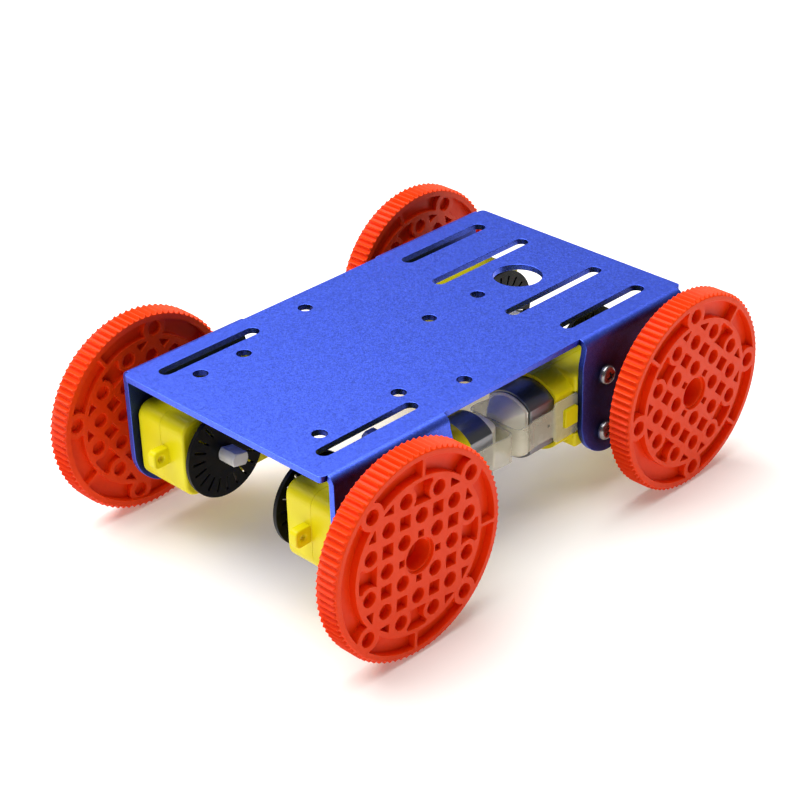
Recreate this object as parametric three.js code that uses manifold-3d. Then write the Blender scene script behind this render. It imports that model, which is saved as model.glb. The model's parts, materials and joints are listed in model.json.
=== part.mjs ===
// Four wheel robot chassis: a bent sheet metal deck on four geared motors, each driving one plastic wheel.
// Millimetres. +X points to the front (the end with the large round hole), +Y to the left, +Z up.
// The origin is on the floor, under the middle of the deck.
import * as THREE from "three";
import { mergeVertices } from "three/addons/utils/BufferGeometryUtils.js";
import Module from "manifold-3d";

const wasm = await Module();
wasm.setup();

// Layout of the vehicle.
const AXLE_X = 53.94; // each axle's distance from the middle
const AXLE_HEIGHT = 29;
const DRIVE_Y = 29.1; // each gearbox's middle plane, from the vehicle's middle
const GAP = 0.3; // clearance between pieces that touch

// Deck: one sheet, bent down at both sides.
const PLATE = { rear: -69.4, front: 69, halfWidth: 37.8, cornerR: 1.4 };
const DECK_WIDTH = 80.6; // over the bent legs
const DECK_TOP = AXLE_HEIGHT + 21.84;
const SHEET = 1.8;
const BEND_OUTER = 2.6;
const BEND_INNER = BEND_OUTER - SHEET;
const LEG_BOTTOM = AXLE_HEIGHT - 15.9;
const LEGS = {
  rear: { inboard: 26, end: 67.5 },
  front: { inboard: 24.3, end: 66.8 },
};
const LEG_CORNER = 12;
const LEG_NECK = { width: 1.1, above: DECK_TOP - 2.5, below: DECK_TOP - 6 }; // narrower next to the bend
const HOLE_R = 2.05;
const BIG_HOLE = { x: 42.86, y: 0, r: 7.05 };
const ROUND_HOLES = [
  [-40.2, 22.9],
  [-55.2, 23],
  [-55.2, -22.4],
  [-27.4, -22.4],
  [-11.2, 30.2],
  [-11.2, -30.2],
  [7.3, 0.4],
  [26.6, 0.3],
];
const SLOTS = [
  { y: 30.7, from: -60.3, to: -30.4 },
  { y: -29.5, from: -60.3, to: -30.4 },
  { y: 30.1, from: 29.6, to: 58.9 },
  { y: -30.1, from: 29.6, to: 58.9 },
  { y: 13.9, from: 25.5, to: 59.8 },
  { y: -13.9, from: 25.5, to: 59.8 },
];
const SHAFT_HOLE_R = 4;

// Drive unit. Its own frame has x from the axle towards the vehicle's middle, y across, and z outwards
// from the gearbox's middle plane.
const LEG_IN = DECK_WIDTH / 2 - SHEET - DRIVE_Y; // z of the leg's inner face
const LEG_OUT = LEG_IN + SHEET;
const BOX_HALF = LEG_IN - 0.1; // half thickness of the gearbox
const BOX_END = -11.6;
const BOX_INBOARD = 37.4;
const BOX_HALF_HEIGHT = 11.25;
const BOX_CORNER = 4;
const WALL = 1.5;
const CAVITY_HALF = BOX_HALF - WALL;
const NUB_X = 11;
const NUB_R = 2;
const TAB = { length: 5, halfHeight: 2.6, zLow: -3, zHigh: -0.15, holeR: 1.4 };
const BOX_SQUARE_END = 30.5; // past this the gearbox follows the motor's round section
const SLEEVE = 1.2;
const HOOK = { from: 30, to: 35, halfHeight: 2.7, top: 10 }; // square nub that holds the strap
const RECESS_X = 28.5;
const RECESS_Z = 8.35;

const SCREW_X = 20.3;
const SCREW_Y = 8.75;
const SCREW_R = 1.5;
const SCREW_HEAD_R = 2.8;
const SCREW_HEAD = 2.1;
const SCREW_TIP = -13.6;
const BOSS_R = 2.45;

// Motor.
const CAN_FRONT = 28.4;
const CAN_REAR = 46.6;
const CAN_R = 10.05;
const CAN_FLAT = 7.55;
const CAN_WALL = 0.8;
const CAP_REAR = 52.4;
const STRAP_IN = 8.65;
const STRAP_OUT = 9.25;
const STRAP_REAR = 53.4;
const STRAP_HALF = 4.3;
const STRAP_LOOP = { from: 28.9, to: 38.3, halfHeight: 6 };

// Gear train, 48 to 1: pinion 6 to crown 24, pinion 7 to middle gear 21, pinion 7 to last gear 28.
const MODULE = 0.65;
const TIP = 0.45; // tooth height outside the pitch circle
const ROOT = 0.75; // tooth depth inside it
const TEETH = { small: 7, middle: 21, last: 28, crown: 24, motor: 6 };
const MIDDLE_X = ((TEETH.small + TEETH.last) * MODULE) / 2;
const CROWN_X = MIDDLE_X + ((TEETH.small + TEETH.middle) * MODULE) / 2;
const CROWN_IN = 4.4;
const CROWN_OUT = 5.5;
const PIN_R = 1;
const MOTOR_TIP_R = 1.6;
const PINION_FROM = 25.4;

// Output shaft and encoder disc.
const SHAFT_R = 2.7;
const SHAFT_FLAT = 1.85;
const SHAFT_IN = -18.5;
const SHAFT_OUT = 18.7;
const DISC_R = 13;
const DISC_IN = -12.8;
const DISC_OUT = -11.5;
const DISC_HUB_R = 4.6;
const DISC_HUB_OUT = -10;

// Wheel. Its lattice of holes has one hole every 8 mm.
const PITCH = 8;
const TREAD_TEETH = 90;
const TREAD_TIP = 29;
const TREAD_ROOT = 28.1;
const RIM_IN_R = 26.6;
const WHEEL_OUT = 26.3;
const TREAD_IN = 19.5;
const LATTICE_IN = 20.3;
const WEB_IN = 22;
const WEB_OUT = 24;
const LATTICE_R = 21.9;
const LATTICE_HOLE_R = 2.1;
const LUG_R = 3.7;
const HUB_BORE_R = 4.15;
const HUB_STEP_R = 4.85;
const HUB_STEP = 0.8;
const HUB_FLOOR_OUT = 20.6;
const HUB_FLOOR_IN = SHAFT_OUT + GAP;
const HUB_BOSS_R = 4.9;
const HUB_BOSS_IN = 13.4;

// Lattice direction of each wheel and the drive unit's turn into the vehicle's frame.
const CORNERS = [
  { name: "rear_right", x: -1, y: -1, lattice: 40 },
  { name: "rear_left", x: -1, y: 1, lattice: 78 },
  { name: "front_right", x: 1, y: -1, lattice: 92 },
  { name: "front_left", x: 1, y: 1, lattice: 64 },
];

const MATERIALS = {
  anodised: { color: "#4a5ff0", roughness: 0.45, metalness: 0.6 },
  wheel: { color: "#f0512a", roughness: 0.5, metalness: 0 },
  yellow: { color: "#e6dc20", roughness: 0.45, metalness: 0 },
  disc: { color: "#141618", roughness: 0.4, metalness: 0 },
  shaft: { color: "#ecebe6", roughness: 0.5, metalness: 0 },
  gear: { color: "#e9e7df", roughness: 0.5, metalness: 0 },
  steel: { color: "#b5b7ba", roughness: 0.3, metalness: 0.9 },
  rotor: { color: "#b08a55", roughness: 0.35, metalness: 0.8 },
  cap: { color: "#eeeeea", roughness: 0.5, metalness: 0 },
  strap: { color: "#e4e6e2", roughness: 0.15, metalness: 0 },
};

function material(slot) {
  return new THREE.MeshStandardMaterial(MATERIALS[slot]);
}

// Solids for joining and cutting.
function solidOf(geometry) {
  const bare = geometry.clone();
  bare.deleteAttribute("normal");
  bare.deleteAttribute("uv");
  const merged = mergeVertices(bare, 1e-5);
  return new wasm.Manifold(
    new wasm.Mesh({
      numProp: 3,
      vertProperties: merged.attributes.position.array,
      triVerts: new Uint32Array(merged.index.array),
    }),
  );
}

function geometryOf(solid) {
  const mesh = solid.getMesh();
  const geometry = new THREE.BufferGeometry();
  geometry.setAttribute("position", new THREE.BufferAttribute(new Float32Array(mesh.vertProperties), 3));
  geometry.setIndex(new THREE.BufferAttribute(new Uint32Array(mesh.triVerts), 1));
  geometry.computeVertexNormals();
  return geometry;
}

function join(...solids) {
  return solids.reduce((sum, next) => sum.add(next));
}

function cut(solid, ...tools) {
  return tools.reduce((left, tool) => left.subtract(tool), solid);
}

// Outlines.
function outline(points) {
  return new THREE.Shape(points.map(([x, y]) => new THREE.Vector2(x, y)));
}

function roundPoints(radius, sides, cx = 0, cy = 0, turn = 0) {
  const points = [];
  for (let i = 0; i < sides; i += 1) {
    const angle = turn + (2 * Math.PI * i) / sides;
    points.push([cx + radius * Math.cos(angle), cy + radius * Math.sin(angle)]);
  }
  return points;
}

function boxPoints(x0, y0, x1, y1) {
  return [
    [x0, y0],
    [x1, y0],
    [x1, y1],
    [x0, y1],
  ];
}

// A rectangle with its corners rounded, each in a few straight steps.
function roundedBoxPoints(x0, y0, x1, y1, radii, steps) {
  const centres = [
    [x0, y0, 1, 1, Math.PI],
    [x1, y0, -1, 1, 1.5 * Math.PI],
    [x1, y1, -1, -1, 0],
    [x0, y1, 1, -1, 0.5 * Math.PI],
  ];
  const points = [];
  centres.forEach(([x, y, sx, sy, start], corner) => {
    const r = radii[corner];
    const count = r > 0 ? steps : 0;
    for (let i = 0; i <= count; i += 1) {
      const angle = start + (count ? (0.5 * Math.PI * i) / count : 0);
      points.push([x + sx * r + r * Math.cos(angle), y + sy * r + r * Math.sin(angle)]);
    }
  });
  return points;
}

// A round bar cut by two flats whose normals point along the turn.
function doubleFlatPoints(radius, flat, steps, turn = 0) {
  const half = Math.acos(flat / radius);
  const points = [];
  for (const middle of [0.5 * Math.PI, 1.5 * Math.PI]) {
    for (let i = 0; i <= steps; i += 1) {
      const angle = middle + (0.5 * Math.PI - half) * ((2 * i) / steps - 1) + turn;
      points.push([radius * Math.cos(angle), radius * Math.sin(angle)]);
    }
  }
  return points;
}

// Prisms along z.
function prism(points, z0, z1) {
  const geometry = new THREE.ExtrudeGeometry(outline(points), { depth: z1 - z0, bevelEnabled: false });
  geometry.translate(0, 0, z0);
  return solidOf(geometry);
}

function bar(radius, sides, z0, z1, cx = 0, cy = 0) {
  return prism(roundPoints(radius, sides, cx, cy, Math.PI / sides), z0, z1);
}

// A prism along x: its outline is given as (y, z).
function prismX(points, x0, x1) {
  const geometry = new THREE.ExtrudeGeometry(outline(points), { depth: x1 - x0, bevelEnabled: false });
  geometry.applyMatrix4(
    new THREE.Matrix4().makeBasis(
      new THREE.Vector3(0, 1, 0),
      new THREE.Vector3(0, 0, 1),
      new THREE.Vector3(1, 0, 0),
    ),
  );
  geometry.translate(x0, 0, 0);
  return solidOf(geometry);
}

// A prism along y: its outline is given as (x, z).
function prismY(points, y0, y1) {
  const geometry = new THREE.ExtrudeGeometry(outline(points), { depth: y1 - y0, bevelEnabled: false });
  geometry.rotateX(Math.PI / 2);
  geometry.translate(0, y1, 0);
  return solidOf(geometry);
}

function arcPoints(cx, cy, radius, from, to, steps) {
  const points = [];
  for (let i = 0; i <= steps; i += 1) {
    const angle = from + ((to - from) * i) / steps;
    points.push([cx + radius * Math.cos(angle), cy + radius * Math.sin(angle)]);
  }
  return points;
}

// Deck: a channel section with rounded bends, trimmed to four legs and pierced.
function channelSection() {
  const half = DECK_WIDTH / 2;
  const low = LEG_BOTTOM - 1;
  const bendY = half - BEND_OUTER;
  const bendZ = DECK_TOP - BEND_OUTER;
  return [
    [-half, low],
    [-half + SHEET, low],
    ...arcPoints(-bendY, bendZ, BEND_INNER, Math.PI, 0.5 * Math.PI, 2),
    ...arcPoints(bendY, bendZ, BEND_INNER, 0.5 * Math.PI, 0, 2),
    [half - SHEET, low],
    [half, low],
    ...arcPoints(bendY, bendZ, BEND_OUTER, 0, 0.5 * Math.PI, 4),
    ...arcPoints(-bendY, bendZ, BEND_OUTER, 0.5 * Math.PI, Math.PI, 4),
  ];
}

// The outline of a leg seen from the side, reaching up past the plate. Both distances are from the middle.
function legPoints({ inboard, end }) {
  const r = LEG_CORNER;
  const neck = inboard + LEG_NECK.width;
  const high = DECK_TOP + 2;
  return [
    [neck, high],
    [neck, LEG_NECK.above],
    [inboard, LEG_NECK.below],
    ...arcPoints(inboard + r, LEG_BOTTOM + r, r, Math.PI, 1.5 * Math.PI, 5),
    ...arcPoints(end - r, LEG_BOTTOM + r, r, 1.5 * Math.PI, 2 * Math.PI, 5),
    [end, high],
  ];
}

function legs() {
  const wide = DECK_WIDTH;
  const front = prismY(legPoints(LEGS.front), -wide, wide);
  const rear = prismY(legPoints(LEGS.rear), -wide, wide).mirror([1, 0, 0]);
  return prismX(channelSection(), PLATE.rear, PLATE.front).intersect(join(front, rear));
}

function plate() {
  const r = PLATE.cornerR;
  const half = PLATE.halfWidth;
  return prism(
    roundedBoxPoints(PLATE.rear, -half, PLATE.front, half, [r, r, r, r], 3),
    DECK_TOP - SHEET,
    DECK_TOP,
  );
}

function slotPoints({ y, from, to }) {
  return [
    ...arcPoints(to, y, HOLE_R, -0.5 * Math.PI, 0.5 * Math.PI, 4),
    ...arcPoints(from, y, HOLE_R, 0.5 * Math.PI, 1.5 * Math.PI, 4),
  ];
}

function deck() {
  const low = DECK_TOP - 4;
  const high = DECK_TOP + 1;
  let solid = join(plate(), legs());
  solid = cut(solid, bar(BIG_HOLE.r, 24, low, high, BIG_HOLE.x, BIG_HOLE.y));
  for (const [x, y] of ROUND_HOLES) {
    solid = cut(solid, bar(HOLE_R, 10, low, high, x, y));
  }
  for (const slot of SLOTS) {
    solid = cut(solid, prism(slotPoints(slot), low, high));
  }
  const wide = DECK_WIDTH;
  for (const side of [-1, 1]) {
    solid = cut(
      solid,
      prismY(roundPoints(SHAFT_HOLE_R, 12, side * AXLE_X, AXLE_HEIGHT), -wide, wide),
      prismY(roundPoints(NUB_R + 0.5, 8, side * (AXLE_X - NUB_X), AXLE_HEIGHT), -wide, wide),
    );
    for (const up of [-1, 1]) {
      const x = side * (AXLE_X - SCREW_X);
      solid = cut(solid, prismY(roundPoints(SCREW_R + GAP, 8, x, AXLE_HEIGHT + up * SCREW_Y), -wide, wide));
    }
  }
  return solid;
}

// Gear outline: pointed teeth with plenty of backlash.
function gearPoints(teeth, turn) {
  const pitchR = (teeth * MODULE) / 2;
  const half = Math.PI / teeth;
  const points = [];
  for (let i = 0; i < teeth; i += 1) {
    const tip = turn + 2 * i * half;
    points.push([(pitchR + TIP) * Math.cos(tip), (pitchR + TIP) * Math.sin(tip)]);
    points.push([(pitchR - ROOT) * Math.cos(tip + half), (pitchR - ROOT) * Math.sin(tip + half)]);
  }
  return points;
}

// Output shaft, moulded in one with the last gear. A tooth of the gear points to the middle gear.
function outputShaft(turn) {
  return join(
    prism(doubleFlatPoints(SHAFT_R, SHAFT_FLAT, 2, turn), SHAFT_IN, -6),
    bar(SHAFT_R, 10, -6.5, 6.5),
    prism(doubleFlatPoints(SHAFT_R, SHAFT_FLAT, 2, turn), 6, SHAFT_OUT),
    prism(gearPoints(TEETH.last, 0), -4.4, -1.6),
  );
}

// Middle gear with its pinion and two stub axles. A gap of the pinion faces the last gear.
function middleGear() {
  const gapTurn = Math.PI + Math.PI / TEETH.small;
  return join(
    prism(gearPoints(TEETH.middle, 0), -7.2, -4.9),
    prism(gearPoints(TEETH.small, gapTurn), -5, -1.2),
    bar(PIN_R, 6, -8.5, -7),
    bar(PIN_R, 6, -1.5, 8.5),
  );
}

// Crown gear: notches round a disc's edge, open to the motor's pinion above, and a small pinion behind.
function crownGear() {
  const gapTurn = Math.PI + Math.PI / TEETH.small;
  const half = Math.PI / TEETH.crown;
  const notched = [];
  for (let i = 0; i < TEETH.crown; i += 1) {
    const notch = 2 * i * half;
    notched.push([CROWN_IN * Math.cos(notch), CROWN_IN * Math.sin(notch)]);
    notched.push([CROWN_OUT * Math.cos(notch + half), CROWN_OUT * Math.sin(notch + half)]);
  }
  const solid = join(prism(notched, -3.3, -1.2), prism(gearPoints(TEETH.small, gapTurn), -7.4, -3));
  return cut(solid, bar(PIN_R + GAP, 6, -9, 0)).translate([CROWN_X, 0, 0]);
}

// Rotor: pinion, shaft and armature on the motor's axis.
function rotor() {
  const pinion = [];
  const half = Math.PI / TEETH.motor;
  for (let i = 0; i < TEETH.motor; i += 1) {
    const tip = Math.PI / 2 + 2 * i * half;
    pinion.push([MOTOR_TIP_R * Math.cos(tip), MOTOR_TIP_R * Math.sin(tip)]);
    pinion.push([Math.cos(tip + half), Math.sin(tip + half)]);
  }
  return join(
    prismX(pinion, PINION_FROM, 26.6),
    prismX(roundPoints(0.95, 6), 26.4, 50.8),
    prismX(roundPoints(6, 10), 31, 44),
  );
}

// Can section: round, with a flat on both faces.
function canPoints(grow, steps) {
  const r = CAN_R + grow;
  const flat = CAN_FLAT + grow;
  const half = Math.acos(flat / r);
  const points = [];
  for (const middle of [0, Math.PI]) {
    points.push(...arcPoints(0, 0, r, middle + half - 0.5 * Math.PI, middle - half + 0.5 * Math.PI, steps));
  }
  return points;
}

function motorCan() {
  return cut(
    prismX(canPoints(0, 5), CAN_FRONT, CAN_REAR),
    prismX(canPoints(-CAN_WALL, 5), CAN_FRONT + 1, CAN_REAR + 1),
    prismX(roundPoints(1 + GAP, 6), CAN_FRONT - 1, CAN_FRONT + 2),
  );
}

function motorCap() {
  return cut(
    join(
      prismX(canPoints(-0.1, 5), CAN_REAR + GAP, CAP_REAR - 0.8),
      prismX(canPoints(-1.3, 5), CAP_REAR - 1, CAP_REAR),
    ),
    prismX(roundPoints(1 + GAP, 6), CAN_REAR, 51.3),
  );
}

// Half shells of the gearbox. The side is 1 for the outer shell, against the leg, and -1 for the inner one.
function shellBody() {
  const low = -BOX_HALF_HEIGHT;
  const high = BOX_HALF_HEIGHT;
  const c = BOX_CORNER;
  const box = prism(roundedBoxPoints(BOX_END, low, BOX_SQUARE_END, high, [c, 0, 0, c], 2), GAP / 2, BOX_HALF);
  const room = prism(boxPoints(BOX_SQUARE_END - 1, low - 1, BOX_INBOARD + 1, high + 1), GAP / 2, RECESS_Z);
  return join(box, prismX(canPoints(SLEEVE, 5), BOX_SQUARE_END - 0.5, BOX_INBOARD).intersect(room));
}

function shell(side) {
  let solid = cut(
    shellBody(),
    prism(boxPoints(BOX_END + WALL, -9.75, 27, 9.75), -1, CAVITY_HALF),
    prismX(canPoints(GAP, 5), CAN_FRONT - GAP, BOX_INBOARD + 1),
    prism(boxPoints(RECESS_X, -6.5, BOX_INBOARD + 1, 6.5), RECESS_Z, BOX_HALF + 1),
  );
  const nub = prism(boxPoints(HOOK.from, -HOOK.halfHeight, HOOK.to, HOOK.halfHeight), RECESS_Z - 0.3, HOOK.top);
  solid = solid.add(nub);
  for (const up of [-1, 1]) {
    solid = solid.add(bar(BOSS_R, 6, GAP / 2, CAVITY_HALF + 0.5, SCREW_X, up * SCREW_Y));
  }
  for (const up of [-1, 1]) {
    solid = cut(solid, bar(SCREW_R + GAP, 8, -1, BOX_HALF + 1, SCREW_X, up * SCREW_Y));
  }
  solid = cut(
    solid,
    bar(SHAFT_R + 0.4, 10, -1, BOX_HALF + 1),
    bar(PIN_R + GAP, 6, CAVITY_HALF - 1, CAVITY_HALF + 0.9, MIDDLE_X, 0),
    bar(PIN_R + GAP, 6, CAVITY_HALF - 1, CAVITY_HALF + 0.9, CROWN_X, 0),
    prismX(roundPoints(1 + GAP, 6), 26, CAN_FRONT + 1),
  );
  if (side > 0) {
    solid = solid.add(bar(NUB_R, 8, BOX_HALF - 0.2, LEG_OUT - 0.2, NUB_X, 0));
    return solid;
  }
  const tab = cut(
    prism(boxPoints(BOX_END - TAB.length, -TAB.halfHeight, BOX_END + 1, TAB.halfHeight), -TAB.zHigh, -TAB.zLow),
    bar(TAB.holeR, 8, -1, 4, BOX_END - 2.4, 0),
  );
  solid = solid.add(tab);
  return solid.mirror([0, 0, 1]);
}

// Strap: a clear band over both flats and round the motor's end, with a window over each square nub.
function strap() {
  const band = (x0, x1, half) =>
    join(
      prism(boxPoints(x0, -half, x1, half), STRAP_IN, STRAP_OUT),
      prism(boxPoints(x0, -half, x1, half), -STRAP_OUT, -STRAP_IN),
    );
  const section = [
    ...arcPoints(STRAP_REAR - 2, STRAP_OUT - 2, 2, 0.5 * Math.PI, 0, 3),
    ...arcPoints(STRAP_REAR - 2, 2 - STRAP_OUT, 2, 0, -0.5 * Math.PI, 3),
    [STRAP_LOOP.to - 0.5, -STRAP_OUT],
    [STRAP_LOOP.to - 0.5, -STRAP_IN],
    ...arcPoints(STRAP_REAR - 2, 2 - STRAP_OUT, 1.4, -0.5 * Math.PI, 0, 3),
    ...arcPoints(STRAP_REAR - 2, STRAP_OUT - 2, 1.4, 0, 0.5 * Math.PI, 3),
    [STRAP_LOOP.to - 0.5, STRAP_IN],
    [STRAP_LOOP.to - 0.5, STRAP_OUT],
  ];
  const window = boxPoints(
    HOOK.from - GAP,
    -HOOK.halfHeight - GAP,
    HOOK.to + GAP,
    HOOK.halfHeight + GAP,
  );
  return cut(
    join(prismY(section, -STRAP_HALF, STRAP_HALF), band(STRAP_LOOP.from, STRAP_LOOP.to, STRAP_LOOP.halfHeight)),
    prism(window, -12, 12),
  );
}

// Encoder disc: a plain disc and hub with a double flat hole for the shaft.
function encoderDisc() {
  return cut(
    join(bar(DISC_R, 32, DISC_IN, DISC_OUT), bar(DISC_HUB_R, 16, DISC_OUT - 0.2, DISC_HUB_OUT)),
    prism(doubleFlatPoints(SHAFT_R + GAP, SHAFT_FLAT + GAP, 2), DISC_IN - 1, DISC_HUB_OUT + 1),
  );
}

// Wheel.
function treadPoints() {
  const points = [];
  const step = Math.PI / TREAD_TEETH;
  for (let i = 0; i < TREAD_TEETH; i += 1) {
    const tip = (2 * i + 1) * step;
    points.push([TREAD_TIP * Math.cos(tip), TREAD_TIP * Math.sin(tip)]);
    points.push([TREAD_ROOT * Math.cos(tip + step), TREAD_ROOT * Math.sin(tip + step)]);
  }
  return points;
}

function latticeBody() {
  const parts = [bar(LATTICE_R, 32, LATTICE_IN, WHEEL_OUT)];
  for (let i = 0; i < 4; i += 1) {
    const angle = (i * Math.PI) / 2;
    parts.push(bar(LUG_R, 8, LATTICE_IN, WHEEL_OUT, 3 * PITCH * Math.cos(angle), 3 * PITCH * Math.sin(angle)));
  }
  for (let i = 0; i < 3; i += 1) {
    const rib = prism(boxPoints(LATTICE_R - 1, -0.5, RIM_IN_R + 0.5, 0.5), LATTICE_IN, WHEEL_OUT);
    parts.push(rib.rotate([0, 0, 225 + 90 * i]));
  }
  return join(...parts);
}

// Every opening of the lattice, as one solid. The web closes all of them half way down.
function latticeOpenings() {
  const z0 = LATTICE_IN - 1;
  const z1 = WHEEL_OUT + 1;
  const parts = [];
  for (let i = -2; i <= 2; i += 1) {
    for (let j = -2; j <= 2; j += 1) {
      const corner = Math.abs(i) === 2 && Math.abs(j) === 2;
      const hub = i === 0 && j === 0;
      if (!corner && !hub) {
        parts.push(bar(LATTICE_HOLE_R, 6, z0, z1, i * PITCH, j * PITCH));
      }
    }
  }
  const diamond = (r, x, y) => parts.push(prism(roundPoints(r * Math.SQRT2, 4, x, y, 0), z0, z1));
  for (let quarter = 0; quarter < 4; quarter += 1) {
    const a = (quarter * Math.PI) / 2;
    const turn = (x, y) => [x * Math.cos(a) - y * Math.sin(a), x * Math.sin(a) + y * Math.cos(a)];
    diamond(1.8, ...turn(1.5 * PITCH, 0.5 * PITCH));
    diamond(1.8, ...turn(1.5 * PITCH, -0.5 * PITCH));
    parts.push(bar(LATTICE_HOLE_R, 6, z0, z1, ...turn(3 * PITCH, 0)));
  }
  return join(...parts);
}

function wheel() {
  const rim = cut(
    prism(treadPoints(), TREAD_IN, WHEEL_OUT),
    bar(RIM_IN_R, 32, TREAD_IN - 1, WHEEL_OUT + 1),
  );
  const web = bar(RIM_IN_R + 0.5, 32, WEB_IN, WEB_OUT);
  const body = join(rim, latticeBody().subtract(latticeOpenings()), web);
  const hub = bar(HUB_BOSS_R, 12, HUB_BOSS_IN, LATTICE_IN + 1);
  return cut(
    join(body, hub),
    bar(HUB_BORE_R, 16, HUB_FLOOR_OUT, WHEEL_OUT + 1),
    bar(HUB_STEP_R, 16, WHEEL_OUT - HUB_STEP, WHEEL_OUT + 1),
    bar(1, 6, HUB_BOSS_IN, WHEEL_OUT),
    prism(doubleFlatPoints(SHAFT_R + GAP, SHAFT_FLAT + GAP, 2), HUB_BOSS_IN - 1, HUB_FLOOR_IN),
  );
}

// Screw: pan head outside the leg, shank through the leg and the gearbox.
function screw(up) {
  const seat = LEG_OUT + 0.1;
  const profile = [
    [0, SCREW_TIP],
    [SCREW_R, SCREW_TIP],
    [SCREW_R, seat],
    [SCREW_HEAD_R, seat],
    [SCREW_HEAD_R, seat + 1],
    [SCREW_HEAD_R * 0.7, seat + SCREW_HEAD * 0.9],
    [0, seat + SCREW_HEAD],
  ].map(([r, z]) => new THREE.Vector2(r, z));
  const turned = new THREE.LatheGeometry(profile, 8);
  turned.rotateX(Math.PI / 2);
  return solidOf(turned).translate([SCREW_X, up * SCREW_Y, 0]);
}

const chassis = new THREE.Group();

function place(parent, name, slot, geometry, turn = 0, x = 0) {
  const mesh = new THREE.Mesh(geometry, material(slot));
  mesh.name = name;
  mesh.position.x = x;
  mesh.rotation.z = turn;
  parent.add(mesh);
}

place(chassis, "deck", "anodised", geometryOf(deck()));

const shared = {
  wheel: geometryOf(wheel()),
  disc: geometryOf(encoderDisc()),
  outer: geometryOf(shell(1)),
  inner: geometryOf(shell(-1)),
  crown: geometryOf(crownGear()),
  middle: geometryOf(middleGear()),
  rotor: geometryOf(rotor()),
  pin: geometryOf(bar(PIN_R, 8, -8.5, 8.5)),
  can: geometryOf(motorCan()),
  cap: geometryOf(motorCap()),
  strap: geometryOf(strap()),
  upper: geometryOf(screw(1)),
  lower: geometryOf(screw(-1)),
};

for (const corner of CORNERS) {
  const unit = new THREE.Group();
  const front = corner.x > 0;
  const left = corner.y > 0;
  const outwardPlus = left !== front;
  unit.rotation.order = "ZYX";
  unit.rotation.set(outwardPlus ? -Math.PI / 2 : Math.PI / 2, 0, front ? Math.PI : 0);
  unit.position.set(corner.x * AXLE_X, corner.y * DRIVE_Y, AXLE_HEIGHT);
  const sign = outwardPlus ? -1 : 1;
  const local = sign * corner.lattice + (front ? 180 * sign : 0);
  const turn = (local * Math.PI) / 180;
  const at = (piece) => `${piece}_${corner.name}`;
  place(unit, at("wheel"), "wheel", shared.wheel, turn);
  place(unit, at("encoder_disc"), "disc", shared.disc, turn);
  place(unit, at("output_shaft"), "shaft", geometryOf(outputShaft(turn)));
  place(unit, at("gearbox_outer"), "yellow", shared.outer);
  place(unit, at("gearbox_inner"), "yellow", shared.inner);
  place(unit, at("crown_gear"), "gear", shared.crown);
  place(unit, at("middle_gear"), "gear", shared.middle, 0, MIDDLE_X);
  place(unit, at("rotor"), "rotor", shared.rotor);
  place(unit, at("gear_pin"), "steel", shared.pin, 0, CROWN_X);
  place(unit, at("motor_can"), "steel", shared.can);
  place(unit, at("motor_cap"), "cap", shared.cap);
  place(unit, at("strap"), "strap", shared.strap);
  place(unit, at("screw_upper"), "steel", left === front ? shared.upper : shared.lower);
  place(unit, at("screw_lower"), "steel", left === front ? shared.lower : shared.upper);
  chassis.add(unit);
}

export default chassis;
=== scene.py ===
"""Four wheel robot chassis: bent sheet deck, four geared motors, four toothed lattice wheels.

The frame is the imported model: +X to the front, +Y to the left, +Z up, metres. The deck is drawn in it, in
millimetres. Everything else is drawn in millimetres too, in the frame of its own drive unit, and then put in
place: a points from the axle towards the vehicle's middle, b across, and t outwards.
"""
import json
import math

import bmesh
import bpy
from mathutils import Matrix, Vector


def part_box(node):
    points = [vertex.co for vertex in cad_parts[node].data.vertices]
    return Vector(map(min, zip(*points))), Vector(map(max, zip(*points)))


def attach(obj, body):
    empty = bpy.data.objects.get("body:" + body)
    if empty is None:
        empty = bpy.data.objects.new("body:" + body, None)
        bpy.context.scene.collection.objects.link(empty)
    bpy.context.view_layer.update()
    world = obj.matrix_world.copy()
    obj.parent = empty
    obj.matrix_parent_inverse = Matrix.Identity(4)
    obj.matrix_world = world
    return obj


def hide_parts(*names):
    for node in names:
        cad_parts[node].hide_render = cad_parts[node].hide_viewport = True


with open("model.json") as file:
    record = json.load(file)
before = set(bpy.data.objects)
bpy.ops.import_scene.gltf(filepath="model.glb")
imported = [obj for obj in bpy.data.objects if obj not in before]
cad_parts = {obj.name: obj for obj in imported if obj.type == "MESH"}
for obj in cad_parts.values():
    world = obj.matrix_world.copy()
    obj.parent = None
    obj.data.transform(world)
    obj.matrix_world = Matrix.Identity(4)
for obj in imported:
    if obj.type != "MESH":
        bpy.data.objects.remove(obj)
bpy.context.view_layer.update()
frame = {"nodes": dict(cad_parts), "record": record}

MM = 0.001
TAU = 2 * math.pi
CORNERS = ("rear_right", "rear_left", "front_right", "front_left")
JOINTS = {joint["name"]: joint for joint in frame["record"]["behaviour"]["joints"]}


def span(node, axis):
    """Lowest and highest value of a CAD node along one axis, in millimetres."""
    low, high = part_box(node)
    return low[axis] / MM, high[axis] / MM


# ---------------------------------------------------------------- sizes
AXLE_X, DRIVE_Y, AXLE_Z = (value / MM for value in JOINTS["wheel_spin_front_left"]["pos_m"])
DECK_REAR, DECK_FRONT = span("deck", 0)
DECK_SIDE = span("deck", 1)[1]
LEG_BOTTOM, DECK_TOP = span("deck", 2)
SHEET = 1.8
BEND_R = 2.6
PLATE_SIDE = 37.8
LEGS = ((-67.5, -26.0), (24.3, 66.8))
LEG_OUT = DECK_SIDE - DRIVE_Y
LEG_IN = LEG_OUT - SHEET
BOX_HALF = LEG_IN - 0.1
SCREW_A, SCREW_B = 20.3, 8.75
SOFT_ANGLE = 32  # degrees; edges sharper than this are drawn sharp


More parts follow.
